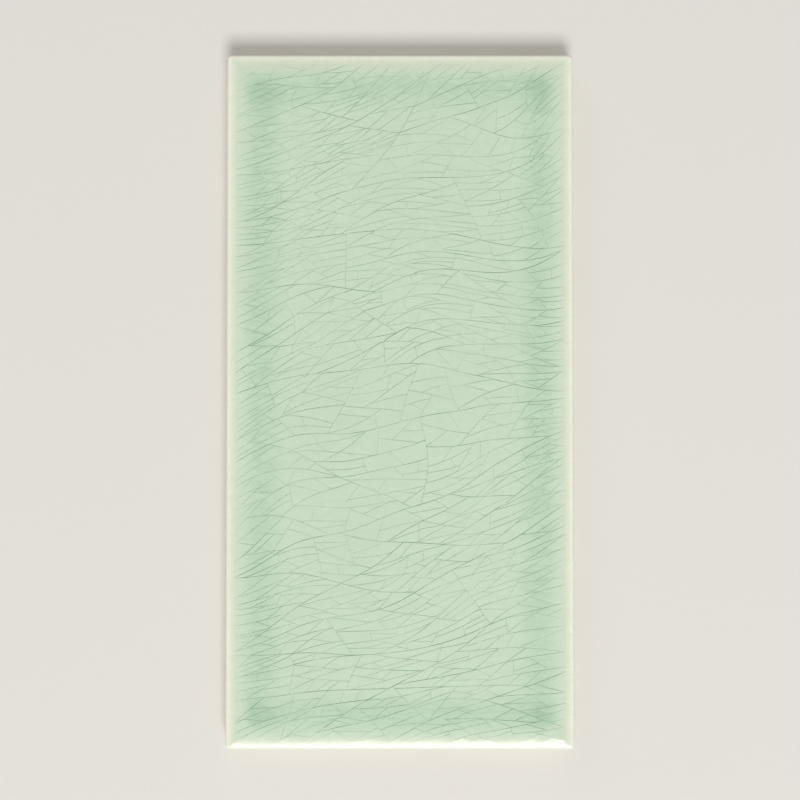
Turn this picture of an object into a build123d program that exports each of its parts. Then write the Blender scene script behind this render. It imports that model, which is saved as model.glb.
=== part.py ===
from build123d import *

from math import radians, tan
import os

# A crackle-glazed wall tile, lying face up. It is one dry-pressed, twice-fired piece of white
# earthenware with straight sides. On its face the glaze has drawn back from the arris, banked up
# in a low bead just inside the rim and settled flat in the middle. Its back is pressed into
# shallow square pockets, and the ribs between them are what the tile lies on.
#
# +X runs across the short side, +Y along the long side and +Z up, out of the glaze. The origin is
# the middle of the back, in the plane of the rib tops. All lengths are in millimetres.

# Overall sizes
tile_width = 75.0  # short side, between the two straight edge faces
tile_length = 150.0  # long side, between the other two
tile_thickness = 8.0  # from the rib tops to the crest of the glaze bead
corner_radius = 0.9  # the four upright corners

# Edge faces
draft_height = 2.6  # how far up from the back the edge leans out before it stands upright
draft_angle = 9.0  # degrees that the leaning part is off the vertical
back_bevel = 0.4  # bevel round the foot of the edge
arris_radius = 0.8  # roundness of the edge between the face and the sides
arris_flat = 0.1  # level strip between the arris and the foot of the glaze

# Glazed face
rim_drop = 0.4  # how far the face falls from the bead's crest to the arris
bead_inset = 6.2  # from the edge to the outside of the bead's crest
crest_width = 0.8  # level top of the bead
dish_run = 4.6  # width of the slope from the crest in to the flat middle
dish_depth = 0.12  # how far the flat middle lies below the crest

# Keyed back
pocket_width = 8.2  # each pocket's size at its mouth, along X
pocket_length = 8.6  # and along Y
pocket_radius = 1.2
pocket_depth = 0.6
pocket_draft = 25.0  # degrees that the pocket walls lean
rib_width = 1.8  # between two pockets, and the least that is left round the outside

clearance = 1.0  # how far a cutting shape runs past what it cuts

# Level where the rounded arris ends and the glazed face begins
arris_top = tile_thickness - rim_drop

# The back's outline, after the edge has leaned in and the bevel is off
edge_lean = draft_height * tan(radians(draft_angle))
back_width = tile_width - 2 * (edge_lean + back_bevel)
back_length = tile_length - 2 * (edge_lean + back_bevel)


def pockets_along(span, pocket):
    """How many pockets of that size fit along the back, with ribs between and outside them."""
    return int((span - rib_width) / (pocket + rib_width))


def crown_section(span):
    """Section of the glaze that stands above the arris, across a tile of that span."""
    foot = span / 2 - arris_radius - arris_flat
    crest = span / 2 - bead_inset
    run = foot - crest
    crown_radius = (run**2 + rim_drop**2) / (2 * rim_drop)
    with BuildSketch() as section:
        with BuildLine():
            slope = RadiusArc((crest, tile_thickness), (foot, arris_top), crown_radius)
            Polyline(slope @ 1, (0, arris_top), (0, tile_thickness), slope @ 0)
        make_face()
        mirror(about=Plane.YZ)
    return section.sketch


def dish_section(span):
    """Section of the shallow dish inside the bead, across a tile of that span."""
    lip = span / 2 - bead_inset - crest_width
    foot = lip - dish_run
    floor = tile_thickness - dish_depth
    middle = (lip - dish_run / 2, tile_thickness - dish_depth / 2)
    slope_radius = ((dish_run / 2) ** 2 + (dish_depth / 2) ** 2) / dish_depth
    with BuildSketch() as section:
        with BuildLine():
            upper = RadiusArc((lip, tile_thickness), middle, -slope_radius)
            lower = RadiusArc(middle, (foot, floor), slope_radius)
            Line((foot, floor), (0, floor))
            Polyline(
                upper @ 0,
                (lip, tile_thickness + clearance),
                (0, tile_thickness + clearance),
                (0, floor),
            )
        make_face()
        mirror(about=Plane.YZ)
    return section.sketch


# Crown and dish each have one section both ways, so that their slopes meet in mitres
with BuildPart() as crown:
    with BuildSketch(Plane.XZ):
        add(crown_section(tile_width))
    extrude(amount=tile_length / 2, both=True)
    with BuildSketch(Plane.YZ):
        add(crown_section(tile_length))
    extrude(amount=tile_width / 2, both=True, mode=Mode.INTERSECT)

with BuildPart() as dish:
    with BuildSketch(Plane.XZ):
        add(dish_section(tile_width))
    extrude(amount=tile_length / 2, both=True)
    with BuildSketch(Plane.YZ):
        add(dish_section(tile_length))
    extrude(amount=tile_width / 2, both=True, mode=Mode.INTERSECT)

with BuildPart() as tile:
    # Pressed body: upright sides above, sides that lean in below
    with BuildSketch(Plane.XY.offset(draft_height)):
        RectangleRounded(tile_width, tile_length, corner_radius)
    extrude(amount=arris_top - draft_height)
    with BuildSketch(Plane.XY.offset(draft_height)):
        RectangleRounded(tile_width, tile_length, corner_radius)
    extrude(amount=-draft_height, taper=draft_angle)
    chamfer(tile.faces().sort_by(Axis.Z)[0].edges(), back_bevel)
    fillet(tile.faces().sort_by(Axis.Z)[-1].edges(), arris_radius)

    # Glazed face
    add(crown.part)
    add(dish.part, mode=Mode.SUBTRACT)

    # Keyed back
    with BuildSketch(Plane.XY):
        with GridLocations(
            pocket_width + rib_width,
            pocket_length + rib_width,
            pockets_along(back_width, pocket_width),
            pockets_along(back_length, pocket_length),
        ):
            RectangleRounded(pocket_width, pocket_length, pocket_radius)
    extrude(amount=pocket_depth, taper=pocket_draft, mode=Mode.SUBTRACT)

tile.part.label = "tile"
os.makedirs("parts", exist_ok=True)
export_step(tile.part, "parts/tile.step")

print("volume, cubic centimetres:", round(tile.part.volume / 1000, 2))
print("back, width and length:", round(back_width, 2), round(back_length, 2))
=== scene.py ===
"""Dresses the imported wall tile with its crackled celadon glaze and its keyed, fired back.

The face is modelled with a real network of craze lines, cut one across another as a glaze cracks
when it cools. Sizes are kept in metres in the panel and worked in millimetres.
"""

import random
from math import cos, hypot, pi, radians, sin, sqrt, tan
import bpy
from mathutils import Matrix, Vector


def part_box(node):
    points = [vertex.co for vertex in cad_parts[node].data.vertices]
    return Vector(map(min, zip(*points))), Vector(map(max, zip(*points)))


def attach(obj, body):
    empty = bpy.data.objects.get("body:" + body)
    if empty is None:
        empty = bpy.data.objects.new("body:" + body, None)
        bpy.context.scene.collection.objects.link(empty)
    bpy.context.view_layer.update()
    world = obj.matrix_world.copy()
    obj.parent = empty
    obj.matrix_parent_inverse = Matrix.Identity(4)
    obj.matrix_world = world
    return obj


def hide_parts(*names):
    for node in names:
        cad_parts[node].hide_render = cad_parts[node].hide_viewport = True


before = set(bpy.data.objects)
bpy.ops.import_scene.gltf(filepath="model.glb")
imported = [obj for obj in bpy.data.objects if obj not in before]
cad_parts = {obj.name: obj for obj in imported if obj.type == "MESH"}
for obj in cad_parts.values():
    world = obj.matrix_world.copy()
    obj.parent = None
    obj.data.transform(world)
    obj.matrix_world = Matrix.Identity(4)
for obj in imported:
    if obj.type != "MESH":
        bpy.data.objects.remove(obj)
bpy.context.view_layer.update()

from types import SimpleNamespace

import bmesh
import bpy
from bpy.props import FloatProperty, FloatVectorProperty, IntProperty, PointerProperty
from bpy.types import Operator, Panel, PropertyGroup
from mathutils import Matrix, Vector, noise

bl_info = {
    "name": "Crackle Glaze Tile",
    "version": (1, 0, 0),
    "blender": (4, 5, 0),
    "location": "View3D > Sidebar > Tile",
    "description": "Models a pressed wall tile with a crackled glaze and lights it on a floor",
    "category": "Object",
}

TILE_LOW, TILE_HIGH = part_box("tile")
MM = 0.001  # one millimetre, in metres
GLAZE, BODY = 0, 1  # material slots of the tile

# Mesh of the face, in millimetres
ARRIS_ROWS = 5  # rows over the round of the arris
ARRIS_MARGIN = 0.25  # from the arris to the next row
SIDE_ROW = 1.4  # first row of the sides below the arris

# Melted surface of the glaze, in millimetres
MITRE_BLEND = 0.04  # softness where the slopes of two sides meet
WAVE_REACH = 16.0  # broad waves
RIPPLE_REACH = 6.5  # smaller waves between them
RIPPLE_SHARE = 0.45  # height of the smaller waves beside the broad ones
RIPPLE_PLACE = Vector((9.0, 4.0, 2.0))  # where the smaller waves are read in the noise
WAVE_RISE = (1.0, 9.0)  # distances from the edge over which the waves rise

# Pull of the glaze: where it is read in the noise, across the cracks and along them
SWING_ACROSS = Vector((7.3, 30.5, 0.3))
WANDER_ACROSS = Vector((42.2, 34.8, 0.8))
SWING_ALONG = Vector((4.4, 0.9, 7.5))
WANDER_ALONG = Vector((0.3, 6.8, 9.9))
SWING_ALONG_SHARE = 0.7  # swing along the cracks beside the swing across them

# How a cell cracks
CELL_SPREAD = (0.75, 2.0)  # a cell stays whole under an area between these, in usual cells
FEWEST_FACES = 4  # mesh faces under which a cell stays whole
CROSSWISE_LEAN = (-0.12, 0.26)  # middle and spread of a short crack's turn, in radians
LENGTHWISE_LEAN = (0.12, 0.42)  # the same of a long crack
OFF_MIDDLE = 0.16  # how far off the middle of its cell a crack may lie, in reaches of the cell
ON_CRACK = 0.0001  # how near to a crack a point of the mesh counts as on it, in millimetres
TINY = 1e-9  # what counts as no length

# How the cracks are evened out and opened
FIELD_MARGIN = 0.2  # from the arris to the outermost cells, in millimetres
POINT_SPACING = 2.4  # least distance between points of a crack, in line widths
JUNCTION_SHARE = 0.8  # of that distance, below which two junctions are drawn together
EVENING_ROUNDS = 3
FEWEST_CORNERS = 4  # corners that a cell keeps
HEAD_REACH = 2.2  # furthest that a plate's corner stands off its crack, in half line widths
UNFOLD_ROUNDS = 14
UNFOLD_SHARE = 0.6  # of its distance from the crack that a folded corner keeps in each round
LEAST_TURN = 0.002  # bend of a plate's outline that counts as one, in square millimetres
PLATE_EDGE = 1.6  # longest edge inside a plate, in millimetres
GROOVE_RISE = (1.2, 3.6)  # distances from the edge over which the grooves deepen, in millimetres

# Where a craze line shows fainter, and by how much
LATE = (4.0, 10.0)  # how many cracks came before it
LATE_FADE = 0.4
# Painted shade by direction: lines near the slope of the long cracks lie across the window's light
# and are painted stronger, and steep ones are painted fainter
SHADE_TURN = (0.4, 0.8)  # sine of its turn off the slope of the long cracks, over which the line fades as painted shade by direction
DIRECTION_SHADE_FADE = 0.6

# Back, in millimetres
BACK_SLACK = 0.05  # above the floors of the pockets, for what counts as the back
LEVEL_SLACK = 0.01  # rise of an edge that still counts as level
LEAST_LAND = 0.3  # from the border of the back to the nearest lip of a pocket
SHARP_BEND = radians(50.0)
CORNER_CUT = 0.75  # share of a pocket's corner radius that the bevel takes off
CORNER_STEPS = 4
LIP_ROUND = 0.14
LIP_STEPS = 2

# Layout for baking
UV_EDGE = 0.005  # clear border round the whole, as a share of it
UV_FILL = 0.985  # share of the width that the layout takes
UV_GAP = 0.5  # between two sides, in millimetres
UV_LAND = 0.2  # from the border of the back to what is laid out with it, in millimetres
UV_SLACK = 0.02  # above the floors of the pockets, in millimetres
FACES_DOWN = 0.75  # least upright share of the normal of a face laid out with the back

# Glaze, as distances from the edge in millimetres unless it says otherwise
POOL_RISE = (3.0, 7.0)
POOL_FADE = (7.6, 13.6)
POOL_ENDS = (2.6, 6.0)  # where a pool starts at its two ends
RIM_FADE = (2.0, 4.8)
THIN_RIM_FADE = (0.9, 2.4)
ARRIS_FADE = (0.5, 1.25)
LINE_RISE = (1.0, 3.8)  # where the craze lines grow to their full strength
LIT_END_SHADE_FADE = (4.0, 9.0)  # where the painted shade at the -Y end, which faces the window, fades out, in from that end
LIT_END_SHADE_STRETCH = 0.3  # share by which the way in from the edge counts as longer there, narrowing the pale rim as painted shade
SWAY = (3.2, 0.9)  # how far the borders of the pools sway, slowly and quickly
RIM_SWAY = 0.5  # how far the borders of the thin rim do
STREAK_TURN = radians(9.0)  # turn of the streaks off the slope of the long cracks
STREAK_SHAPE = (1.0, 3.2, 1.0)  # a streak is that much narrower than long

# Run of glaze below the arris, in millimetres
RUN_REACH = (0.15, 2.1)  # least and most reach of the run
RUN_BORDER = (-0.08, 0.12)  # softness of its lower border
RUN_THIN = (0.0, 1.4)  # depths over which the run thins

# Stage, in metres unless it says otherwise
FLOOR_GAP = 0.02 * MM  # between the floor and the ribs
FLOOR_SIDES = 96
WINDOW_DISTANCE = 2.4
WINDOW_WIDTH = 0.8
WINDOW_ASIDE = 0.13  # how far the window stands to the right, beside how far it stands in front
PANEL_PLACE = (-1.0, 1.5, 1.15)
PANEL_WIDTH = 1.1
UNDER_PLACE = (0.0, 0.0, -0.9)
UNDER_WIDTH = 0.8
CLIP = (0.01, 20.0)  # nearest and furthest that the camera sees

# Sizes and colours


def length(name, description, millimetres):
    """A length property, given in millimetres and kept in metres."""
    return FloatProperty(
        name=name,
        description=description,
        default=millimetres * MM,
        min=0.0,
        precision=5,
        subtype="DISTANCE",
        unit="LENGTH",
    )


def angle(name, description, degrees):
    """An angle property, given in degrees and kept in radians."""
    return FloatProperty(
        name=name,
        description=description,
        default=radians(degrees),
        subtype="ANGLE",
        unit="ROTATION",
    )


def power(name, description, watts):
    """A property for the power of a lamp."""
    return FloatProperty(
        name=name,
        description=description,
        default=watts,
        min=0.0,
        subtype="POWER",
        unit="POWER",
    )


def colour(name, description, red, green, blue):
    """A colour property, given in the 0 to 255 values that a picture would show."""
    return FloatVectorProperty(
        name=name,
        description=description,
        default=tuple(linear(value / 255) for value in (red, green, blue)),
        size=3,
        min=0.0,
        max=1.0,
        subtype="COLOR",
    )


def linear(value):
    """A display value between 0 and 1 as the light it stands for."""
    return value / 12.92 if value <= 0.04045 else ((value + 0.055) / 1.055) ** 2.4


class TileSizes(PropertyGroup):
    """Sizes of the tile"""

    width: length("Width", "Short side of the tile", (TILE_HIGH.x - TILE_LOW.x) / MM)
    height: length("Length", "Long side of the tile", (TILE_HIGH.y - TILE_LOW.y) / MM)
    thickness: length("Thickness", "Back to the crest of glaze", (TILE_HIGH.z - TILE_LOW.z) / MM)
    corner_radius: length("Corner radius", "Radius of the four upright corners", 0.9)
    arris_radius: length("Arris radius", "Roundness between the face and the sides", 0.8)
    draft_height: length("Draft height", "How far up the sides lean outwards", 2.6)
    draft_angle: angle("Draft angle", "How far the leaning part is off the upright", 9.0)
    back_bevel: length("Back bevel", "Bevel round the foot of the sides", 0.4)
    rim_drop: length("Rim drop", "Fall of the face from the crest to the arris", 0.4)
    bead_inset: length("Bead inset", "Edge of the tile to the crest of the glaze", 6.2)
    crest_width: length("Crest width", "Level top of the glaze bead", 0.8)
    dish_run: length("Dish run", "Width of the slope from the crest to the middle", 4.6)
    dish_depth: length("Dish depth", "Depth of the middle below the crest", 0.12)
    waviness: length("Waviness", "Slow unevenness of the melted glaze", 0.05)
    pocket_width: length("Pocket width", "Size of a back pocket along X", 8.2)
    pocket_length: length("Pocket length", "Size of a back pocket along Y", 8.6)
    pocket_radius: length("Pocket radius", "Corner radius of a back pocket", 1.2)
    pocket_depth: length("Pocket depth", "Depth of the back pockets", 0.6)
    pocket_draft: angle("Pocket draft", "How far the pockets' walls are off the upright", 25.0)
    rib_width: length("Rib width", "Width of the ribs between the pockets", 1.8)
    mesh_step: length("Mesh step", "Spacing of the face's mesh before it cracks", 1.0)


class CrackleSizes(PropertyGroup):
    """Sizes of the crackle"""

    cell_length: length("Cell length", "Usual length of a glaze cell, along the cracks", 6.6)
    cell_width: length("Cell width", "Usual width of a glaze cell, across the cracks", 1.9)
    line_width: length("Line width", "Width of a craze line", 0.14)
    line_depth: length("Line depth", "Depth of a craze line", 0.05)
    swing: length("Swing", "How far the long cracks swing off a straight line", 8.0)
    swing_reach: length("Swing reach", "Distance over which the long cracks swing", 32.0)
    wander: length("Wander", "How far the cracks wander along their way", 2.0)
    wander_reach: length("Wander reach", "Distance over which the cracks wander", 20.0)
    slope: angle("Slope", "Direction of the long cracks, up from the short side", 15.0)
    seed: IntProperty(name="Seed", description="Picks another crackle", default=7, min=0)


class TileColours(PropertyGroup):
    """Colours of the glaze and the fired clay"""

    field: colour("Field", "Glaze over the flat middle", 197, 215, 191)
    pool: colour("Pool", "Glaze where it lies thickest, inside the rim", 184, 208, 182)
    pool_corner: colour("Pool corner", "Glaze where two pools meet in a corner", 170, 198, 171)
    rim: colour("Rim", "Thin glaze on the way to the arris", 206, 218, 195)
    thin_rim: colour("Thin rim", "Thinner glaze beside the arris", 221, 227, 204)
    arris: colour("Arris", "Body showing through the glaze on the arris", 233, 235, 216)
    craze: colour("Craze line", "Glaze seen into the depth of a crack", 122, 154, 127)
    body: colour("Body", "Fired clay of the sides and back", 236, 231, 215)
    body_shade: colour("Body shade", "Darker patches in the fired clay", 224, 216, 196)
    grog: colour("Grog", "Fine specks in the fired clay", 188, 172, 148)


class StageSettings(PropertyGroup):
    """Floor, light and camera"""

    floor: colour("Floor", "Colour of the floor", 222, 219, 213)
    floor_radius: length("Floor radius", "Radius of the round floor", 4000.0)
    floor_fade: length("Floor fade", "Where the floor starts to run into the background", 350.0)
    daylight: FloatProperty(
        name="Daylight",
        description="Strength of the even light from all round",
        default=0.5,
        min=0.0,
    )
    window_power: power("Window", "Power of the soft light from below the picture", 35.8)
    window_tilt: angle("Window tilt", "Angle of the soft light off the upright", 34.0)
    panel_power: power("Panel", "Power of the panel that the glaze mirrors from low angles", 3.2)
    under_power: power("Light from below", "Power of the lamp that shows the back", 5.5)
    lens: FloatProperty(
        name="Lens",
        description="Focal length of the camera, in millimetres",
        default=85.0,
        min=10.0,
    )
    camera_tilt: angle("Camera tilt", "Angle of the camera off the upright", 2.0)
    fill: FloatProperty(
        name="Fill",
        description="Share of the picture's height that the tile takes",
        default=0.87,
        min=0.1,
        max=1.0,
        subtype="FACTOR",
    )


def own_properties(group):
    """The properties that the group itself declares, in order."""
    inherited = {"rna_type", "name"}
    return [item for item in group.bl_rna.properties if item.identifier not in inherited]


def in_millimetres(group):
    """The group's lengths in millimetres and its other values as they are, under the same names."""
    values = {}
    for item in own_properties(group):
        value = getattr(group, item.identifier)
        values[item.identifier] = value / MM if item.unit == "LENGTH" else value
    return SimpleNamespace(**values)


# Form of the face


def once(items):
    """The items as a list, each kept where it first comes, so that every run works in one order."""
    return list(dict.fromkeys(items))


def ease(value, start, end):
    """0 before start, 1 after end and a smooth change between them."""
    t = min(max((value - start) / (end - start), 0.0), 1.0)
    return t * t * (3.0 - 2.0 * t)


def rows_along(span, size):
    """Places of the face's mesh lines along one side: close over the arris, even in the field."""
    turns = (pi / 2 * row / ARRIS_ROWS for row in range(ARRIS_ROWS))
    arris = [size.arris_radius * (1.0 - cos(turn)) for turn in turns]
    arris += [size.arris_radius, size.arris_radius + ARRIS_MARGIN]
    inner = span / 2 - arris[-1]
    count = round(2 * inner / size.mesh_step)
    field = [-inner + 2 * inner * i / count for i in range(1, count)]
    left = [distance - span / 2 for distance in arris]
    return left + field + [-place for place in reversed(left)]


def round_corner(x, y, size):
    """Draws a point of the square corner in to the round one, ring by ring."""
    radius = size.corner_radius
    across = abs(x) - (size.width / 2 - radius)
    along = abs(y) - (size.height / 2 - radius)
    if across <= 0.0 or along <= 0.0:
        return x, y
    scale = max(across, along) / hypot(across, along)
    return (
        (size.width / 2 - radius + across * scale) * (1 if x > 0 else -1),
        (size.height / 2 - radius + along * scale) * (1 if y > 0 else -1),
    )


def edge_distance(x, y, size):
    """Distance from the tile's outline, on the rounded plan."""
    radius = size.corner_radius
    across = size.width / 2 - abs(x)
    along = size.height / 2 - abs(y)
    if across < radius and along < radius:
        return radius - hypot(radius - across, radius - along)
    return min(across, along)


def crown_fall(distance, size):
    """How far the crown lies below the crest at that distance from one side."""
    if distance >= size.bead_inset:
        return 0.0
    run = size.bead_inset - size.arris_radius
    radius = (run * run + size.rim_drop**2) / (2 * size.rim_drop)
    out = min(size.bead_inset - distance, run)
    return radius - sqrt(radius * radius - out * out)


def dish_fall(distance, size):
    """How far the dish lies below the crest at that distance from one side."""
    lip = size.bead_inset + size.crest_width
    return size.dish_depth * ease(distance, lip, lip + size.dish_run)


def smooth_larger(a, b, blend):
    """The larger of two values, with a rounded change from one to the other."""
    gap = max(blend - abs(a - b), 0.0) / blend
    return max(a, b) + gap * gap * blend / 4


def face_level(x, y, size):
    """Height of the glazed face over the back at that place."""
    from_side = size.width / 2 - abs(x)
    from_end = size.height / 2 - abs(y)
    near = edge_distance(x, y, size)
    if near < size.arris_radius:
        out = size.arris_radius - near
        drop = size.arris_radius - sqrt(max(size.arris_radius**2 - out * out, 0.0))
        return size.thickness - size.rim_drop - drop
    fall = smooth_larger(crown_fall(from_side, size), crown_fall(from_end, size), MITRE_BLEND)
    fall = min(fall, size.rim_drop)
    dish = min(dish_fall(from_side, size), dish_fall(from_end, size))
    place = Vector((x, y, 0.0))
    wave = noise.noise(place / WAVE_REACH)
    wave += RIPPLE_SHARE * noise.noise(place / RIPPLE_REACH + RIPPLE_PLACE)
    wave = size.waviness * (0.5 + 0.5 * wave) * ease(near, *WAVE_RISE)
    return size.thickness - fall - dish - wave


def lay_face(bm, size):
    """Lays the mesh of the face over the tile's plan, as yet level."""
    across = rows_along(size.width, size)
    along = rows_along(size.height, size)
    bmesh.ops.create_grid(
        bm,
        x_segments=len(across) - 1,
        y_segments=len(along) - 1,
        size=1.0,
    )
    for vert in bm.verts:
        column = round((vert.co.x + 1) / 2 * (len(across) - 1))
        row = round((vert.co.y + 1) / 2 * (len(along) - 1))
        vert.co = (across[column], along[row], 0.0)


# Crackle


def pulled(place, crackle):
    """Where a place of the face goes once the glaze's uneven pull is straightened out.

    A crack that is straight there is a gentle arc on the tile. Cells are square there and long
    and low on the tile.
    """
    turned = Matrix.Rotation(-crackle.slope, 2) @ place.xy
    level = Vector((place.x, place.y, 0.0))
    slow = level / crackle.swing_reach
    quick = level / crackle.wander_reach
    across = (
        turned.y
        + crackle.swing * noise.noise(slow + SWING_ACROSS)
        + crackle.wander * noise.noise(quick + WANDER_ACROSS)
    )
    along = (
        turned.x
        + crackle.swing * SWING_ALONG_SHARE * noise.noise(slow + SWING_ALONG)
        + crackle.wander * noise.noise(quick + WANDER_ALONG)
    )
    return Vector((along, across * crackle.cell_length / crackle.cell_width, 0.0))


def long_way(places):
    """Middle, direction and reach of a cell along its longest way."""
    middle = sum(places, Vector()) / len(places)
    xx = sum((place.x - middle.x) ** 2 for place in places)
    yy = sum((place.y - middle.y) ** 2 for place in places)
    xy = sum((place.x - middle.x) * (place.y - middle.y) for place in places)
    half = (xx - yy) / 2
    root = hypot(half, xy)
    way = Vector((half + root, xy, 0.0))
    if way.length < TINY:
        way = Vector((xy, root - half, 0.0)) if root > TINY else Vector((1.0, 0.0, 0.0))
    way.normalize()
    # The length of an even bar is the root of 12 times its spread
    reach = sqrt(max(((xx + yy) / 2 + root) / len(places), 0.0)) * sqrt(12.0)
    return middle, way, reach


def crack_across(bm, piece, age, level, draw):
    """Cracks a piece across its longest way. Returns the faces on the two sides of the crack."""
    middle, way, reach = long_way([face.calc_center_median() for face in piece])
    lean = draw.gauss(*(CROSSWISE_LEAN if abs(way.x) > abs(way.y) else LENGTHWISE_LEAN))
    normal = Matrix.Rotation(lean, 3, "Z") @ way
    middle += way * reach * draw.uniform(-OFF_MIDDLE, OFF_MIDDLE)
    edges = once(edge for face in piece for edge in face.edges)
    verts = once(vert for face in piece for vert in face.verts)
    cut = bmesh.ops.bisect_plane(
        bm,
        geom=[*verts, *edges, *piece],
        dist=ON_CRACK,
        plane_co=middle,
        plane_no=normal,
    )
    for edge in cut["geom_cut"]:
        if isinstance(edge, bmesh.types.BMEdge):
            edge[age] = level
    sides = ([], [])
    for face in cut["geom"]:
        if isinstance(face, bmesh.types.BMFace):
            ahead = (face.calc_center_median() - middle).dot(normal) > 0.0
            sides[ahead].append(face)
    return sides


def crack_cells(bm, faces, cell, age, crackle):
    """Cracks the faces into cells, each crack ending at an older one, and numbers the cells.

    cell is the layer that takes a face's number, and age the layer that takes how late the crack
    along an edge came.
    """
    draw = random.Random(crackle.seed)
    usual = crackle.cell_length**2
    waiting = [(faces, 1)]
    number = 0
    while waiting:
        piece, level = waiting.pop()
        area = sum(face.calc_area() for face in piece)
        whole = area < usual * draw.uniform(*CELL_SPREAD) or len(piece) < FEWEST_FACES
        sides = () if whole else crack_across(bm, piece, age, level, draw)
        if sides and all(sides):
            waiting += [(side, level + 1) for side in sides]
            continue
        number += 1
        for face in piece:
            face[cell] = number


def crack_borders(bm, cell):
    """Edges between two cells, and the edges round the outside of them all."""
    between, outside = [], []
    for edge in bm.edges:
        if len(edge.link_faces) == 2:
            one, two = (face[cell] for face in edge.link_faces)
            if one != two:
                (between if min(one, two) > 0 else outside).append(edge)
    return between, outside


def join_cells(bm, cell):
    """Makes each cell one face, with the cracks round it as they run."""
    inner = [
        edge
        for edge in bm.edges
        if len(edge.link_faces) == 2
        and edge.link_faces[0][cell] == edge.link_faces[1][cell]
        and edge.link_faces[0][cell] > 0
    ]
    bmesh.ops.dissolve_edges(bm, edges=inner, use_verts=False, use_face_split=False)


def space_points(bm, cell, apart):
    """Takes out points that crowd along a crack, no two neighbours at once."""
    spare, kept = [], set()
    for edge in crack_borders(bm, cell)[0]:
        if edge.calc_length() >= apart:
            continue
        for vert in edge.verts:
            around = (vert, *(linked.other_vert(vert) for linked in vert.link_edges))
            if len(vert.link_edges) == 2 and not kept.intersection(around):
                spare.append(vert)
                kept.update(around)
                break
    bmesh.ops.dissolve_verts(bm, verts=spare)


def draw_junctions_together(bm, cell, apart):
    """Joins crack junctions that lie closer than that, where every cell keeps its corners."""
    between, outside = crack_borders(bm, cell)
    rim = {vert for edge in outside for vert in edge.verts}
    joined, touched = {}, set()
    for edge in between:
        if edge.calc_length() >= apart or touched.intersection(edge.verts):
            continue
        small = [face for face in edge.link_faces if len(face.verts) <= FEWEST_CORNERS + 1]
        if any(
            len(face.verts) <= FEWEST_CORNERS or touched.intersection(face.verts) for face in small
        ):
            continue
        gone, stays = edge.verts if edge.verts[1] in rim else reversed(edge.verts)
        if gone not in rim:
            joined[gone] = stays
            touched.update(edge.verts)
    bmesh.ops.weld_verts(bm, targetmap=joined)


def turn(one, two, three):
    """Positive where the way through three places of the level face bends to the left."""
    return (two - one).cross(three - two).z


def crack_strength(foot, cell, age, crackle):
    """How strong a crack shows: less where it came late, and, as painted shade by direction, less
    where it strays off the slope of the long cracks, since those along the slope lie across the
    window's light.
    """
    if any(face[cell] == 0 for face in foot.link_faces):
        return 0.0
    way = (foot.verts[1].co - foot.verts[0].co).normalized()
    off_slope = abs(way.x * sin(crackle.slope) - way.y * cos(crackle.slope))
    late = LATE_FADE * ease(foot[age], *LATE)
    direction_shade = DIRECTION_SHADE_FADE * ease(off_slope, *SHADE_TURN)
    return (1.0 - late) * (1.0 - direction_shade)


def unfold_plates(plates, foot_of):
    """Draws the corners of the plates back to the cracks where a narrow one would fold over."""
    for _ in range(UNFOLD_ROUNDS):
        folded = set()
        for plate in plates:
            ring = list(plate.verts)
            for i, head in enumerate(ring):
                before, after = ring[i - 1], ring[(i + 1) % len(ring)]
                base = [foot_of[vert].co for vert in (before, head, after)]
                if (after.co - head.co).dot(base[2] - base[1]) <= 0.0:
                    folded.update((head, after))
                if turn(*base) > LEAST_TURN and turn(before.co, head.co, after.co) <= 0.0:
                    folded.update((before, head, after))
        if not folded:
            return
        for head in folded:
            head.co = foot_of[head].co.lerp(head.co, UNFOLD_SHARE)


def cut_to_triangles(bm, faces):
    """Cuts the faces into well-shaped triangles, and returns these."""
    methods = {"quad_method": "BEAUTY", "ngon_method": "BEAUTY"}
    return bmesh.ops.triangulate(bm, faces=faces, **methods)["faces"]


def divide_plates(bm, plates, walls):
    """Gives each cell's plate enough faces to follow the face's curve, and leaves the walls."""
    pieces = cut_to_triangles(bm, plates)
    plain = set(pieces)
    long_edges = once(
        edge
        for face in pieces
        for edge in face.edges
        if edge.calc_length() > PLATE_EDGE
        and len(edge.link_faces) == 2
        and plain.issuperset(edge.link_faces)
    )
    split = bmesh.ops.subdivide_edges(bm, edges=long_edges, cuts=1, use_grid_fill=False)
    middles = [item for item in split["geom_inner"] if isinstance(item, bmesh.types.BMVert)]
    touched = once(face for vert in middles for face in vert.link_faces)
    cut_to_triangles(bm, [face for face in touched if face not in walls and len(face.verts) > 3])


def open_cracks(bm, cell, age, strength, crackle):
    """Opens every border between two cells into a narrow groove, and notes how strong it shows."""
    half = crackle.line_width / 2
    feet = set(bm.verts)
    plates = [face for face in bm.faces if face[cell] > 0]
    banks = bmesh.ops.inset_individual(
        bm,
        faces=plates,
        thickness=half,
        use_even_offset=True,
    )["faces"]
    foot_of = {}
    for bank in banks:
        foot = next(edge for edge in bank.edges if feet.issuperset(edge.verts))
        bank[strength] = crack_strength(foot, cell, age, crackle)
        for head in bank.verts:
            if head not in feet:
                beside = {edge.other_vert(head) for edge in head.link_edges}
                foot_of[head] = next(vert for vert in foot.verts if vert in beside)
    for head, foot in foot_of.items():
        away = head.co - foot.co
        if away.length > half * HEAD_REACH:
            head.co = foot.co + away.normalized() * half * HEAD_REACH
    unfold_plates(plates, foot_of)
    divide_plates(bm, plates, set(banks))


def raise_face(bm, strength, size, crackle):
    """Gives the level face its height, with the grooves sunk into it, and its shading."""
    for vert in bm.verts:
        x, y = round_corner(vert.co.x, vert.co.y, size)
        depth = 0.0
        if all(face[strength] > 0.0 for face in vert.link_faces):
            depth = crackle.line_depth * ease(edge_distance(x, y, size), *GROOVE_RISE)
        vert.co = (x, y, face_level(x, y, size) - depth)
    for edge in bm.edges:
        edge.smooth = len({face[strength] > 0.0 for face in edge.link_faces}) < 2
    for face in bm.faces:
        face.smooth = face[strength] == 0.0
        face.material_index = GLAZE


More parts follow.
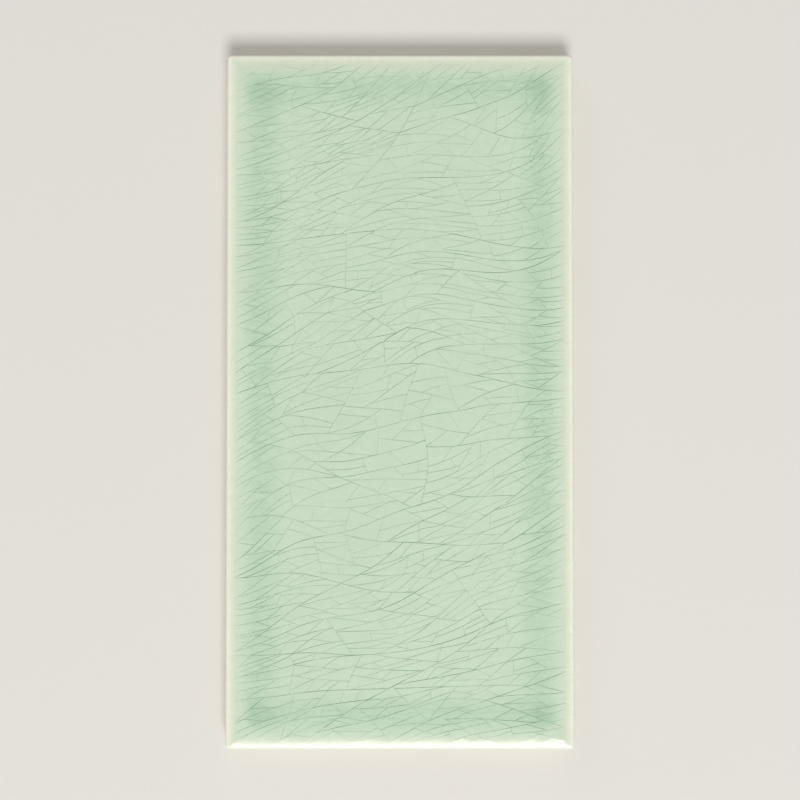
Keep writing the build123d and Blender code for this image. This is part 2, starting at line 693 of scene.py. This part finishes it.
def form_glazed_face(bm, size, crackle):
    """Models the glazed face with its craze lines, down to the sides' upper edge."""
    lay_face(bm, size)
    flat = bm.verts.layers.float_vector.new("flat")
    cell = bm.faces.layers.int.new("cell")
    age = bm.edges.layers.int.new("age")
    strength = bm.faces.layers.float.new("craze")
    margin = size.arris_radius + FIELD_MARGIN
    inside = [
        face
        for face in bm.faces
        if abs(face.calc_center_median().x) < size.width / 2 - margin
        and abs(face.calc_center_median().y) < size.height / 2 - margin
    ]

    # Crack the level face where the pull is straight, and put it back
    for vert in bm.verts:
        vert[flat] = vert.co.copy()
        vert.co = pulled(vert.co, crackle)
    crack_cells(bm, inside, cell, age, crackle)
    for vert in bm.verts:
        vert.co = vert[flat].copy()
        vert.co.z = 0.0
    join_cells(bm, cell)
    apart = crackle.line_width * POINT_SPACING
    for _ in range(EVENING_ROUNDS):
        space_points(bm, cell, apart)
    draw_junctions_together(bm, cell, apart * JUNCTION_SHARE)
    open_cracks(bm, cell, age, strength, crackle)
    raise_face(bm, strength, size, crackle)


# Sides and back


def lip_level(size):
    """Height over the back at which the round of the arris ends and the sides begin."""
    return size.thickness - size.rim_drop - size.arris_radius


def edge_lean(size):
    """How far the sides lean in above the back bevel."""
    return size.draft_height * tan(size.draft_angle)


def foot_inset(size):
    """How far the outline of the back lies inside the tile's outline."""
    return edge_lean(size) + size.back_bevel


def draw_in(place, distance, size):
    """A point of the tile's outline moved in from the edge by that distance."""
    radius = size.corner_radius
    middle = Vector(
        (
            min(max(place.x, radius - size.width / 2), size.width / 2 - radius),
            min(max(place.y, radius - size.height / 2), size.height / 2 - radius),
        )
    )
    out = place.xy - middle
    return middle + out * (1.0 - distance / radius)


def form_sides(bm, size):
    """Carries the edge of the face down the four sides to the back. Returns the lowest edges."""
    lip = [edge for edge in bm.edges if edge.is_boundary]
    outline = {vert: vert.co.copy() for edge in lip for vert in edge.verts}
    levels = (
        (lip_level(size) - SIDE_ROW, 0.0),
        (size.draft_height, 0.0),
        (size.back_bevel, edge_lean(size)),
        (0.0, foot_inset(size)),
    )
    for level, inset in levels:
        grown = bmesh.ops.extrude_edge_only(bm, edges=lip)["geom"]
        edges = [item for item in grown if isinstance(item, bmesh.types.BMEdge)]
        lip = [edge for edge in edges if edge.is_boundary]
        lower = {}
        for vert in once(vert for edge in lip for vert in edge.verts):
            beside = (edge.other_vert(vert) for edge in vert.link_edges)
            above = next(end for end in beside if end in outline)
            lower[vert] = outline[above]
            plan = draw_in(outline[above], inset, size)
            vert.co = (plan.x, plan.y, level)
        outline = lower
        for edge in lip:
            edge.link_faces[0].material_index = BODY
            edge.link_faces[0].smooth = True
    return lip


def on_back(face, size):
    """Whether the whole face lies on the back or in one of its pockets."""
    return all(vert.co.z < size.pocket_depth + BACK_SLACK for vert in face.verts)


def is_lip(edge, size):
    """Whether the edge runs round the mouth or the floor of a pocket."""
    low, high = sorted(vert.co.z for vert in edge.verts)
    if len(edge.link_faces) != 2 or high - low >= LEVEL_SLACK:
        return False
    land = foot_inset(size) + LEAST_LAND
    if any(edge_distance(vert.co.x, vert.co.y, size) <= land for vert in edge.verts):
        return False
    one, two = (face.normal for face in edge.link_faces)
    return one.angle(two, 0.0) > SHARP_BEND


def round_edges(bm, edges, offset, segments):
    """Rounds the edges, no further than there is room."""
    bmesh.ops.bevel(
        bm,
        geom=edges,
        affect="EDGES",
        offset=offset,
        segments=segments,
        profile=0.5,
        material=-1,
        clamp_overlap=True,
    )


def press_back(bm, lip, size):
    """Closes the back with its pressed pockets inside the lowest edges of the sides."""
    pitch_x = size.pocket_width + size.rib_width
    pitch_y = size.pocket_length + size.rib_width
    columns = int((size.width - 2 * foot_inset(size) - size.rib_width) / pitch_x)
    rows = int((size.height - 2 * foot_inset(size) - size.rib_width) / pitch_y)
    grid = bmesh.ops.create_grid(
        bm,
        x_segments=columns,
        y_segments=rows,
        size=0.5,
        matrix=Matrix.Diagonal((columns * pitch_x, rows * pitch_y, 1.0, 1.0)),
    )["verts"]
    pads = once(face for vert in grid for face in vert.link_faces)
    bmesh.ops.reverse_faces(bm, faces=pads)
    border = [edge for face in pads for edge in face.edges if edge.is_boundary]
    bmesh.ops.triangle_fill(bm, edges=lip + border, use_beauty=True)
    bmesh.ops.inset_individual(bm, faces=pads, thickness=size.rib_width / 2)
    walls = bmesh.ops.inset_individual(
        bm,
        faces=pads,
        thickness=size.pocket_depth * tan(size.pocket_draft),
        depth=-size.pocket_depth,
    )["faces"]
    corners = once(
        edge
        for wall in walls
        for edge in wall.edges
        if abs(edge.verts[0].co.z - edge.verts[1].co.z) > size.pocket_depth / 2
    )
    round_edges(bm, corners, size.pocket_radius * CORNER_CUT, CORNER_STEPS)
    back = [face for face in bm.faces if on_back(face, size)]
    lips = once(edge for face in back for edge in face.edges if is_lip(edge, size))
    round_edges(bm, lips, LIP_ROUND, LIP_STEPS)
    for face in bm.faces:
        if on_back(face, size):
            face.material_index = BODY
            face.smooth = False


def unwrap_for_baking(bm, size):
    """Lays the face, the back and the four sides out flat, side by side at one scale."""
    uv = bm.loops.layers.uv.new("OFBake")
    scale = UV_FILL / (2 * size.width + 2 * size.thickness + 4 * UV_GAP)
    side_low = size.height + UV_GAP
    next_end = size.width + UV_GAP
    next_side = size.thickness + UV_GAP
    for face in bm.faces:
        normal = face.normal
        middle = face.calc_center_median()
        on_face = middle.z > lip_level(size)
        on_land = edge_distance(middle.x, middle.y, size) > foot_inset(size) + UV_LAND
        below = middle.z < size.pocket_depth + UV_SLACK
        for loop in face.loops:
            x, y, z = loop.vert.co
            if on_face:
                u, v = x + size.width / 2, y + size.height / 2
            elif below and (on_land or abs(normal.z) > FACES_DOWN):
                u, v = next_end + size.width / 2 - x, y + size.height / 2
            elif abs(normal.y) > abs(normal.x):
                u = x + size.width / 2 + (next_end if normal.y > 0 else 0)
                v = side_low + z
            else:
                u = 2 * next_end + z + (next_side if normal.x > 0 else 0)
                v = y + size.height / 2
            loop[uv].uv = (UV_EDGE + u * scale, UV_EDGE + v * scale)


# Nodes


def add_node(tree, kind, inputs=None, **settings):
    """Adds a node with its settings, and gives its inputs values or joins them to sockets."""
    node = tree.nodes.new(kind)
    for name, value in settings.items():
        setattr(node, name, value)
    for name, value in (inputs or {}).items():
        if isinstance(value, bpy.types.NodeSocket):
            tree.links.new(value, node.inputs[name])
        else:
            node.inputs[name].default_value = value
    return node


def reckon(tree, operation, first, second=0.0, third=0.0):
    """Result of one sum on numbers or sockets."""
    node = add_node(tree, "ShaderNodeMath", {0: first, 1: second, 2: third}, operation=operation)
    return node.outputs[0]


def ramp_between(tree, value, start, end, low=0.0, high=1.0):
    """A smooth change from low to high as value goes from start to end."""
    node = add_node(
        tree,
        "ShaderNodeMapRange",
        {"Value": value, "From Min": start, "From Max": end, "To Min": low, "To Max": high},
        interpolation_type="SMOOTHSTEP",
    )
    return node.outputs["Result"]


def ramp_over(tree, value, reach, low=0.0, high=1.0):
    """A smooth change from low to high over a reach that is given in millimetres."""
    start, end = reach
    return ramp_between(tree, value, start * MM, end * MM, low, high)


def blend_colours(tree, share, first, second):
    """First colour where share is 0 and second where it is 1."""
    node = add_node(tree, "ShaderNodeMix", data_type="RGBA")
    for socket, value in zip((node.inputs[0], *node.inputs[6:8]), (share, first, second)):
        if isinstance(value, bpy.types.NodeSocket):
            tree.links.new(value, socket)
        else:
            socket.default_value = (*value, 1.0)
    return node.outputs[2]


def lit(tree, tone, light):
    """The colour, made lighter or darker by that number."""
    node = add_node(tree, "ShaderNodeVectorMath", {0: tone, "Scale": light}, operation="SCALE")
    return node.outputs[0]


def speckle(tree, place, scale, detail=2.0, roughness=0.5, distortion=0.0):
    """Cloudy noise from 0 to 1 at that scale, in waves to the metre."""
    node = add_node(
        tree,
        "ShaderNodeTexNoise",
        {
            "Vector": place,
            "Scale": scale,
            "Detail": detail,
            "Roughness": roughness,
            "Distortion": distortion,
        },
    )
    return node.outputs["Fac"]


def new_group(name, inputs, outputs):
    """An empty node group with those sockets, given as name and kind."""
    group = bpy.data.node_groups.new(name, "ShaderNodeTree")
    for way, sockets in (("INPUT", inputs), ("OUTPUT", outputs)):
        for label, kind in sockets:
            group.interface.new_socket(label, in_out=way, socket_type=kind)
    return group, group.nodes.new("NodeGroupInput"), group.nodes.new("NodeGroupOutput")


def new_material(name):
    """A new material, its tree of nodes and its shader."""
    material = bpy.data.materials.new(name)
    material.use_nodes = True
    return material, material.node_tree, material.node_tree.nodes["Principled BSDF"]


def object_place(tree):
    """The place on the object, in metres."""
    return add_node(tree, "ShaderNodeTexCoord").outputs["Object"]


# Glaze


def side_distances(tree, place, size):
    """Distances in from the long and from the short sides."""
    split = add_node(tree, "ShaderNodeSeparateXYZ", {0: place}).outputs
    return [
        reckon(tree, "SUBTRACT", span / 2 * MM, reckon(tree, "ABSOLUTE", split[axis]))
        for axis, span in (("X", size.width), ("Y", size.height))
    ]


def glaze_pools(tree, across, along):
    """Shares of the pools along the four sides, and of the corners where two of them meet."""
    pools = []
    for near, other in ((across, along), (along, across)):
        rise = ramp_over(tree, near, POOL_RISE)
        fade = ramp_over(tree, near, POOL_FADE, 1.0, 0.0)
        ends = ramp_over(tree, other, POOL_ENDS)
        pools.append(reckon(tree, "MULTIPLY", reckon(tree, "MULTIPLY", rise, fade), ends))
    return reckon(tree, "MAXIMUM", *pools), reckon(tree, "MULTIPLY", *pools)


def thin_over_rim(tree, tone, near, place, colours, size):
    """Thins the glaze from the bead out to the arris, with painted shade at the -Y end, which faces
    the window: the pale rim is narrower there, so that the slope the window lights shows darker.
    """
    y = add_node(tree, "ShaderNodeSeparateXYZ", {0: place}).outputs["Y"]
    from_lit_end = reckon(tree, "ADD", y, size.height / 2 * MM)
    lit_end_shade = ramp_over(tree, from_lit_end, LIT_END_SHADE_FADE, 1.0, 0.0)
    # Painted shade: near the -Y end the way in from the edge counts as longer, so less pale rim
    # shows on the slope that faces the window
    run = reckon(tree, "MULTIPLY_ADD", lit_end_shade, LIT_END_SHADE_STRETCH, 1.0)
    for distance, reach, thinner in (
        (reckon(tree, "MULTIPLY", near, run), RIM_FADE, colours.rim),
        (near, THIN_RIM_FADE, colours.thin_rim),
        (near, ARRIS_FADE, colours.arris),
    ):
        tone = blend_colours(tree, ramp_over(tree, distance, reach, 1.0, 0.0), tone, thinner)
    return tone


def uneven_depth(tree, place, cloud, pool, pull_slope):
    """Uneven depth of colour, with fine streaks that follow the pull of the glaze."""
    light = ramp_between(tree, cloud, 0.3, 0.7, 0.988, 1.01)
    turned = add_node(
        tree,
        "ShaderNodeMapping",
        {
            "Vector": place,
            "Rotation": (0.0, 0.0, -pull_slope - STREAK_TURN),
            "Scale": STREAK_SHAPE,
        },
    )
    turned = turned.outputs["Vector"]
    streak = speckle(tree, turned, scale=210.0, detail=3.0, roughness=0.6, distortion=1.3)
    streak = ramp_between(tree, streak, 0.3, 0.7, -1.0, 1.0)
    swing = reckon(tree, "MULTIPLY_ADD", pool, 0.042, 0.017)
    light = reckon(tree, "MULTIPLY_ADD", streak, swing, light)
    fine = ramp_between(tree, speckle(tree, place, scale=1500.0), 0.3, 0.7, 0.988, 1.01)
    return reckon(tree, "MULTIPLY", light, fine)


def line_share(tree, place, crack, near, pool):
    """How strong the craze lines show: less on the thin rim, and most in the pools."""
    share = ramp_between(tree, speckle(tree, place, scale=110.0, detail=3.0), 0.36, 0.64, 0.35, 1.0)
    share = reckon(tree, "MULTIPLY", share, ramp_over(tree, near, LINE_RISE))
    share = reckon(tree, "MULTIPLY", share, reckon(tree, "MULTIPLY_ADD", pool, 0.24, 0.98))
    return reckon(tree, "MULTIPLY", crack, share)


def glaze_skin(tree, place):
    """Normal of the faintly uneven surface of the melted glaze."""
    broad = speckle(tree, place, scale=260.0)
    skin = reckon(tree, "MULTIPLY_ADD", speckle(tree, place, scale=900.0), 0.35, broad)
    values = {"Strength": 0.35, "Distance": 0.03 * MM, "Height": skin}
    return add_node(tree, "ShaderNodeBump", values).outputs["Normal"]


def glaze_material(colours, size, pull_slope):
    """Celadon glaze: pooled inside the rim, thin over the arris and crazed all over."""
    material, tree, shader = new_material("Crackle glaze")
    place = object_place(tree)
    slow = speckle(tree, place, scale=95.0, detail=3.0, roughness=0.55)
    quick = reckon(tree, "SUBTRACT", speckle(tree, place, scale=420.0), 0.5)
    sway = reckon(tree, "MULTIPLY", reckon(tree, "SUBTRACT", slow, 0.5), SWAY[0] * MM)
    sway = reckon(tree, "MULTIPLY_ADD", quick, SWAY[1] * MM, sway)
    sides = side_distances(tree, place, size)
    near = reckon(tree, "MULTIPLY_ADD", quick, RIM_SWAY * MM, reckon(tree, "MINIMUM", *sides))

    # Pools, uneven in their depth
    pool, corner = glaze_pools(tree, *(reckon(tree, "ADD", side, sway) for side in sides))
    cloud = speckle(tree, place, scale=60.0, detail=4.0, roughness=0.6)
    pool = reckon(tree, "MULTIPLY", pool, ramp_between(tree, cloud, 0.25, 0.7, 0.75, 1.1))
    tone = blend_colours(tree, pool, colours.field, colours.pool)
    tone = blend_colours(tree, corner, tone, colours.pool_corner)
    tone = thin_over_rim(tree, tone, near, place, colours, size)
    tone = lit(tree, tone, uneven_depth(tree, place, cloud, pool, pull_slope))

    # Craze lines, rough inside
    crack = add_node(tree, "ShaderNodeAttribute", attribute_name="craze").outputs["Fac"]
    line = line_share(tree, place, crack, near, pool)
    tree.links.new(blend_colours(tree, line, tone, colours.craze), shader.inputs["Base Color"])
    rough = ramp_between(tree, cloud, 0.3, 0.7, 0.1, 0.16)
    rough = reckon(tree, "MULTIPLY_ADD", crack, 0.7, rough)
    tree.links.new(rough, shader.inputs["Roughness"])
    tree.links.new(glaze_skin(tree, place), shader.inputs["Normal"])
    shader.inputs["IOR"].default_value = 1.5
    return material


# Fired clay


def fired_clay_group(colours):
    """The fired clay: its colour, and a height for its grain and pores."""
    group, given, result = new_group(
        "Fired clay",
        [("Place", "NodeSocketVector")],
        [("Colour", "NodeSocketColor"), ("Height", "NodeSocketFloat")],
    )
    place = given.outputs["Place"]
    cloud = ramp_between(group, speckle(group, place, scale=55.0, detail=3.0), 0.35, 0.75)
    grain = speckle(group, place, scale=2600.0, detail=3.0, roughness=0.65)

    # Specks of grog, in a few of the cells only
    cells = add_node(group, "ShaderNodeTexVoronoi", {"Vector": place, "Scale": 900.0}).outputs
    chance = add_node(group, "ShaderNodeSeparateColor", {"Color": cells["Color"]}).outputs[0]
    speck = ramp_between(group, cells["Distance"], 0.1, 0.28, 1.0, 0.0)
    speck = reckon(group, "MULTIPLY", speck, reckon(group, "GREATER_THAN", chance, 0.86))

    tone = blend_colours(group, cloud, colours.body, colours.body_shade)
    tone = blend_colours(group, reckon(group, "MULTIPLY", speck, 0.3), tone, colours.grog)
    tone = lit(group, tone, ramp_between(group, grain, 0.3, 0.7, 0.965, 1.02))
    group.links.new(tone, result.inputs["Colour"])
    height = reckon(group, "MULTIPLY_ADD", speck, -0.6, grain)
    group.links.new(height, result.inputs["Height"])
    return group


def body_material(colours, size, clay):
    """Fired clay of the sides and back, with a thin uneven run of glaze below the arris."""
    material, tree, shader = new_material("Fired body")
    place = object_place(tree)
    fired = add_node(tree, "ShaderNodeGroup", node_tree=clay)
    tree.links.new(place, fired.inputs["Place"])

    # Share of the run of glaze, drawn out downwards, and how thin it is
    height = add_node(tree, "ShaderNodeSeparateXYZ", {0: place}).outputs["Z"]
    depth = reckon(tree, "SUBTRACT", lip_level(size) * MM, height)
    drawn = {0: place, 1: (1.0, 1.0, 0.25)}
    drawn = add_node(tree, "ShaderNodeVectorMath", drawn, operation="MULTIPLY").outputs[0]
    drip = speckle(tree, drawn, scale=210.0, detail=4.0, roughness=0.6)
    reach = ramp_between(tree, drip, 0.3, 0.72, *(end * MM for end in RUN_REACH))
    glazed = ramp_over(tree, reckon(tree, "SUBTRACT", reach, depth), RUN_BORDER)
    thin = ramp_over(tree, depth, RUN_THIN)

    glaze = blend_colours(tree, thin, colours.arris, colours.thin_rim)
    tone = blend_colours(tree, glazed, fired.outputs["Colour"], glaze)
    tree.links.new(tone, shader.inputs["Base Color"])
    tree.links.new(ramp_between(tree, glazed, 0.0, 1.0, 0.88, 0.2), shader.inputs["Roughness"])
    raised = reckon(tree, "MULTIPLY_ADD", glazed, 1.2, fired.outputs["Height"])
    values = {"Strength": 0.5, "Distance": 0.05 * MM, "Height": raised}
    bump = add_node(tree, "ShaderNodeBump", values)
    tree.links.new(bump.outputs["Normal"], shader.inputs["Normal"])
    return material


# Stage


def floor_material(settings):
    """Pale floor that runs out into the surroundings and is clear from beneath."""
    material, tree, shader = new_material("Floor")
    pale = (*settings.floor, 1.0)
    shader.inputs["Base Color"].default_value = pale
    shader.inputs["Roughness"].default_value = 0.9
    shader.inputs["Specular IOR Level"].default_value = 0.2
    place = object_place(tree)
    reach = add_node(tree, "ShaderNodeVectorMath", {0: place}, operation="LENGTH").outputs["Value"]
    far = ramp_between(tree, reach, settings.floor_fade, settings.floor_fade * 3.0)
    glow = add_node(tree, "ShaderNodeEmission", {"Color": pale, "Strength": 1.0}).outputs[0]
    ground = blend_shaders(tree, far, shader.outputs[0], glow)
    clear = add_node(tree, "ShaderNodeBsdfTransparent").outputs[0]
    beneath = add_node(tree, "ShaderNodeNewGeometry").outputs["Backfacing"]
    shadow = add_node(tree, "ShaderNodeLightPath").outputs["Is Shadow Ray"]
    surface = blend_shaders(tree, reckon(tree, "MAXIMUM", beneath, shadow), ground, clear)
    tree.links.new(surface, tree.nodes["Material Output"].inputs["Surface"])
    return material


def blend_shaders(tree, share, first, second):
    """First shader where share is 0 and second where it is 1."""
    return add_node(tree, "ShaderNodeMixShader", {0: share, 1: first, 2: second}).outputs[0]


def add_object(scene, name, bm):
    """Adds the finished mesh to the scene, as an object at the origin."""
    mesh = bpy.data.meshes.new(name)
    bm.to_mesh(mesh)
    bm.free()
    added = bpy.data.objects.new(name, mesh)
    scene.collection.objects.link(added)
    return added


def lay_floor(scene, settings):
    """Lays the round floor a hair below the ribs."""
    bm = bmesh.new()
    radius = settings.floor_radius
    bmesh.ops.create_circle(bm, cap_ends=True, segments=FLOOR_SIDES, radius=radius)
    bmesh.ops.translate(bm, vec=(0.0, 0.0, -FLOOR_GAP), verts=bm.verts[:])
    for face in bm.faces:
        if face.normal.z < 0:
            face.normal_flip()
    floor = add_object(scene, "floor", bm)
    floor.data.materials.append(floor_material(settings))


def set_surroundings(scene, settings):
    """Lights evenly from all round, and shows pale surroundings to the camera and the glaze."""
    world = bpy.data.worlds.new("Surroundings")
    scene.world = world
    world.use_nodes = True
    tree = world.node_tree
    light = tree.nodes["Background"]
    light.inputs["Color"].default_value = (1.0, 1.0, 1.0, 1.0)
    light.inputs["Strength"].default_value = settings.daylight
    pale = {"Color": (*settings.floor, 1.0), "Strength": 1.0}
    seen = add_node(tree, "ShaderNodeBackground", pale)
    rays = add_node(tree, "ShaderNodeLightPath").outputs
    mirrored = reckon(tree, "MAXIMUM", rays["Is Glossy Ray"], rays["Is Transmission Ray"])
    shown = reckon(tree, "MAXIMUM", rays["Is Camera Ray"], mirrored)
    surface = blend_shaders(tree, shown, light.outputs[0], seen.outputs[0])
    tree.links.new(surface, tree.nodes["World Output"].inputs["Surface"])


def add_lamp(scene, name, place, width, watts):
    """Adds a square soft lamp at that place, turned towards the tile."""
    data = bpy.data.lights.new(name, "AREA")
    data.shape = "SQUARE"
    data.size = width
    data.energy = watts
    lamp = bpy.data.objects.new(name, data)
    lamp.location = place
    lamp.rotation_euler = (-Vector(place)).to_track_quat("-Z", "Y").to_euler()
    scene.collection.objects.link(lamp)


def hang_camera(scene, settings, size):
    """Hangs the camera above the tile, leaning a little, as far up as the tile fills the view."""
    data = bpy.data.cameras.new("camera")
    data.lens = settings.lens
    data.clip_start, data.clip_end = CLIP
    half_view = (data.sensor_width / 2) / data.lens
    distance = size.height / settings.fill / 2 / half_view
    lean = settings.camera_tilt
    camera = bpy.data.objects.new("camera", data)
    camera.location = (0.0, -distance * sin(lean), distance * cos(lean) + size.thickness)
    camera.rotation_euler = (lean, 0.0, 0.0)
    scene.collection.objects.link(camera)
    scene.camera = camera


# Operators and panel


class TILE_OT_form_tile(Operator):
    """Models the crackle-glazed tile, with its sides and keyed back, and gives it its finishes"""

    bl_idname = "tile.form_tile"
    bl_label = "Form Tile"

    def execute(self, context):
        scene = context.scene
        size = in_millimetres(scene.tile_sizes)
        crackle = in_millimetres(scene.crackle_sizes)
        bm = bmesh.new()
        form_glazed_face(bm, size, crackle)
        lip = form_sides(bm, size)
        press_back(bm, lip, size)
        bmesh.ops.recalc_face_normals(bm, faces=bm.faces[:])
        unwrap_for_baking(bm, size)
        bmesh.ops.scale(bm, vec=(MM, MM, MM), verts=bm.verts[:])
        tile = add_object(scene, "crackle_tile", bm)
        colours = scene.tile_colours
        tile.data.materials.append(glaze_material(colours, size, crackle.slope))
        tile.data.materials.append(body_material(colours, size, fired_clay_group(colours)))
        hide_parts("tile")
        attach(tile, "root")
        return {"FINISHED"}


class TILE_OT_set_stage(Operator):
    """Lays the floor, lights the tile softly and hangs the camera above it"""

    bl_idname = "tile.set_stage"
    bl_label = "Set Stage"

    def execute(self, context):
        scene = context.scene
        settings = scene.stage_settings
        lay_floor(scene, settings)
        set_surroundings(scene, settings)
        front, up = sin(settings.window_tilt), cos(settings.window_tilt)
        way = Vector((WINDOW_ASIDE * front, -front, up)).normalized()
        add_lamp(scene, "window", way * WINDOW_DISTANCE, WINDOW_WIDTH, settings.window_power)
        add_lamp(scene, "panel", PANEL_PLACE, PANEL_WIDTH, settings.panel_power)
        add_lamp(scene, "under", UNDER_PLACE, UNDER_WIDTH, settings.under_power)
        hang_camera(scene, settings, scene.tile_sizes)
        scene.view_settings.view_transform = "Standard"
        return {"FINISHED"}


class TILE_PT_panel(Panel):
    """Sizes and colours of the tile, and the steps that make it"""

    bl_idname = "TILE_PT_panel"
    bl_label = "Crackle Glaze Tile"
    bl_space_type = "VIEW_3D"
    bl_region_type = "UI"
    bl_category = "Tile"

    def draw(self, context):
        scene = context.scene
        column = self.layout.column()
        for group in (scene.tile_sizes, scene.crackle_sizes, scene.tile_colours):
            self.list_group(column, group)
        column.operator(TILE_OT_form_tile.bl_idname)
        self.list_group(column, scene.stage_settings)
        column.operator(TILE_OT_set_stage.bl_idname)

    def list_group(self, column, group):
        """Lists a group's values in a box of their own."""
        box = column.box().column()
        for item in own_properties(group):
            box.prop(group, item.identifier)


CLASSES = (
    TileSizes,
    CrackleSizes,
    TileColours,
    StageSettings,
    TILE_OT_form_tile,
    TILE_OT_set_stage,
    TILE_PT_panel,
)
GROUPS = {
    "tile_sizes": TileSizes,
    "crackle_sizes": CrackleSizes,
    "tile_colours": TileColours,
    "stage_settings": StageSettings,
}


def register():
    """Adds the classes, and the property groups to the scene."""
    for item in CLASSES:
        bpy.utils.register_class(item)
    for name, group in GROUPS.items():
        setattr(bpy.types.Scene, name, PointerProperty(type=group))


def unregister():
    """Takes away what register added."""
    for name in GROUPS:
        delattr(bpy.types.Scene, name)
    for item in reversed(CLASSES):
        bpy.utils.unregister_class(item)


def main():
    """Registers the add-on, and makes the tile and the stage."""
    register()
    bpy.ops.tile.form_tile()
    bpy.ops.tile.set_stage()


if __name__ == "__main__":
    main()
